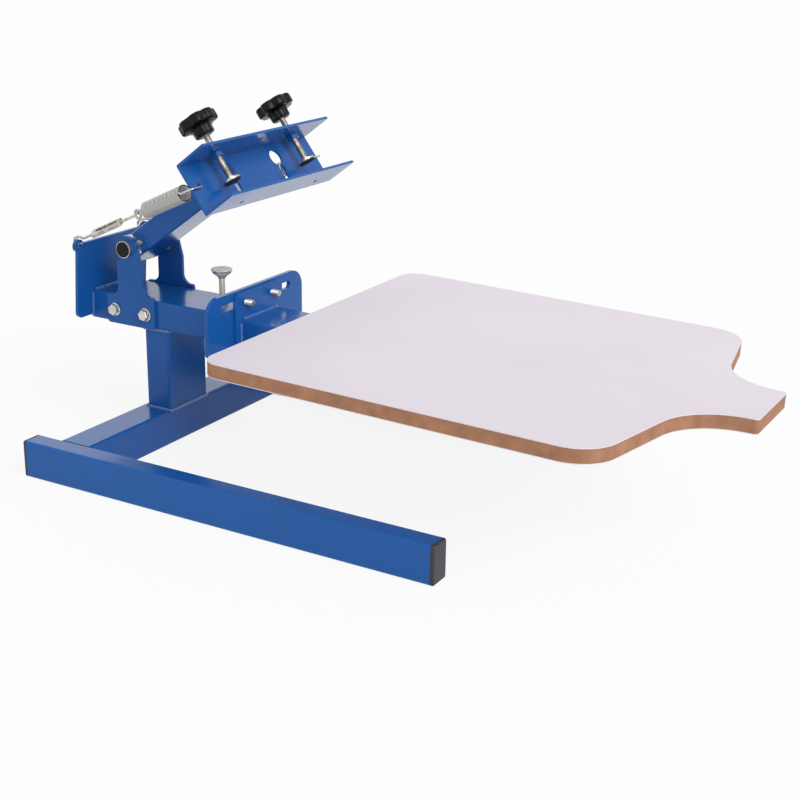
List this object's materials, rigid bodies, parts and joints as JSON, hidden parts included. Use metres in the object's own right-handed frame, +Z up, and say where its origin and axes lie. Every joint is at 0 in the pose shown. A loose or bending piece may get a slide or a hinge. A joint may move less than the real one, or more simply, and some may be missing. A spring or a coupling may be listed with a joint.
{
  "type": "tabletop screen printing press",
  "caption": "Tabletop screen printing press: blue steel base, sprung lifting arm with a screen clamp and star knobs, stop screw, sideways bracket and shirt pallet.",
  "frame": {"origin": "on the bench, under the middle of the cross tube between the legs", "axes": "+X from the arm's pivot to the pallet's neck, +Y along the cross tube, +Z up; the near side is -Y"},
  "size_m": [0.8632, 0.45, 0.4334],
  "materials": {
    "blue_enamel": "glossy mid-blue enamel on welded steel",
    "zinc_steel": "bright zinc plate, slightly warm",
    "spring_steel": "bright plated spring wire",
    "black_knob": "moulded black thermoset, semi-gloss",
    "dark_plastic": "charcoal moulded plastic",
    "pad_rubber": "plain black rubber",
    "pale_laminate": "smooth pale grey-lavender laminate",
    "fibreboard": "bare tan fibreboard edge"
  },
  "bodies": {
    "base": {"near_leg": "blue_enamel", "far_leg": "blue_enamel", "leg_end_caps": "dark_plastic", "cross_tube": "blue_enamel", "post": "blue_enamel", "beam": "blue_enamel", "rear_spring_plate": "blue_enamel", "beam_end_plate": "blue_enamel", "near_ear": "blue_enamel", "far_ear": "blue_enamel", "ear_bolts": "zinc_steel", "ear_nuts": "zinc_steel", "pivot_shaft": "zinc_steel", "pivot_plugs": "dark_plastic", "pivot_collars": "zinc_steel", "collar_screws": "zinc_steel", "stop_nut": "zinc_steel"},
    "arm": {"arm_tube": "blue_enamel", "arm_sleeve": "blue_enamel", "arm_end_cap": "dark_plastic", "clamp_channel": "blue_enamel", "clamp_nuts": "blue_enamel"},
    "stop": {"stop_screw": "zinc_steel"},
    "pallet": {"bracket_plate": "blue_enamel", "bracket_bolts": "zinc_steel", "bracket_washers": "zinc_steel", "support_tube": "blue_enamel", "support_end_cap": "dark_plastic", "pallet_lugs": "blue_enamel", "pallet_screws": "zinc_steel", "pallet_laminate": "pale_laminate", "pallet_board": "fibreboard", "pallet_backing": "pale_laminate"},
    "near_pad": {"near_clamp_pad": "zinc_steel", "near_pad_rubber": "pad_rubber"},
    "near_knob": {"near_clamp_screw": "zinc_steel", "near_clamp_knob": "black_knob"},
    "near_spring_front": {"near_anchor_hook": "zinc_steel", "near_spring": "spring_steel"},
    "near_turnbuckle_body": {"near_turnbuckle_hook": "zinc_steel", "near_turnbuckle": "zinc_steel", "near_turnbuckle_eye": "zinc_steel", "near_spring_loop": "zinc_steel"},
    "far_pad": {"far_clamp_pad": "zinc_steel", "far_pad_rubber": "pad_rubber"},
    "far_knob": {"far_clamp_screw": "zinc_steel", "far_clamp_knob": "black_knob"},
    "far_spring_front": {"far_anchor_hook": "zinc_steel", "far_spring": "spring_steel"},
    "far_turnbuckle_body": {"far_turnbuckle_hook": "zinc_steel", "far_turnbuckle": "zinc_steel", "far_turnbuckle_eye": "zinc_steel", "far_spring_loop": "zinc_steel"}
  },
  "joints": [
    {"name": "arm_lift", "type": "hinge", "parent": "base", "child": "arm", "pos_m": [-0.034, 0, 0.245], "axis": [0, 1, 0], "range_deg": [0, 37], "stiffness_Nm_per_rad": 6, "springref_deg": -31.51},
    {"name": "stop_screw_height", "type": "slide", "parent": "base", "child": "stop", "axis": [0, 0, -1], "range_m": [0, 0.012]},
    {"name": "pallet_slide", "type": "slide", "parent": "base", "child": "pallet", "axis": [0, 1, 0], "range_m": [-0.039, 0.039]},
    {"name": "near_pad_travel", "type": "slide", "parent": "arm", "child": "near_pad", "axis": [0.6018, 0, -0.7986], "range_m": [-0.0253, 0.0192]},
    {"name": "near_knob_turn", "type": "hinge", "parent": "near_pad", "child": "near_knob", "pos_m": [0.15074, -0.075, 0.35792], "axis": [0.6018, 0, -0.7986], "range_deg": [-7286.5, 5529.7]},
    {"name": "near_spring_swing", "type": "hinge", "parent": "arm", "child": "near_spring_front", "pos_m": [0.1322, -0.10975, 0.34946], "axis": [0, 1, 0], "range_deg": [-8.27, 0]},
    {"name": "near_spring_stretch", "type": "slide", "parent": "near_spring_front", "child": "near_turnbuckle_body", "axis": [-0.9162, 0, -0.4007], "range_m": [0, 0.0075], "deforming": ["near_spring"]},
    {"name": "far_pad_travel", "type": "slide", "parent": "arm", "child": "far_pad", "axis": [0.6018, 0, -0.7986], "range_m": [-0.0253, 0.0192]},
    {"name": "far_knob_turn", "type": "hinge", "parent": "far_pad", "child": "far_knob", "pos_m": [0.15074, 0.075, 0.35792], "axis": [0.6018, 0, -0.7986], "range_deg": [-7286.5, 5529.7]},
    {"name": "far_spring_swing", "type": "hinge", "parent": "arm", "child": "far_spring_front", "pos_m": [0.1322, 0.10975, 0.34946], "axis": [0, 1, 0], "range_deg": [-8.27, 0]},
    {"name": "far_spring_stretch", "type": "slide", "parent": "far_spring_front", "child": "far_turnbuckle_body", "axis": [-0.9162, 0, -0.4007], "range_m": [0, 0.0075], "deforming": ["far_spring"]}
  ],
  "couplings": [
    {"joint": "near_knob_turn", "follows": "near_pad_travel", "rad_per_m": 5026.5},
    {"joint": "near_spring_swing", "follows": "arm_lift", "ratio": -0.22343},
    {"joint": "near_spring_stretch", "follows": "arm_lift", "m_per_rad": 0.0116},
    {"joint": "far_knob_turn", "follows": "far_pad_travel", "rad_per_m": 5026.5},
    {"joint": "far_spring_swing", "follows": "arm_lift", "ratio": -0.22343},
    {"joint": "far_spring_stretch", "follows": "arm_lift", "m_per_rad": 0.0116}
  ]
}
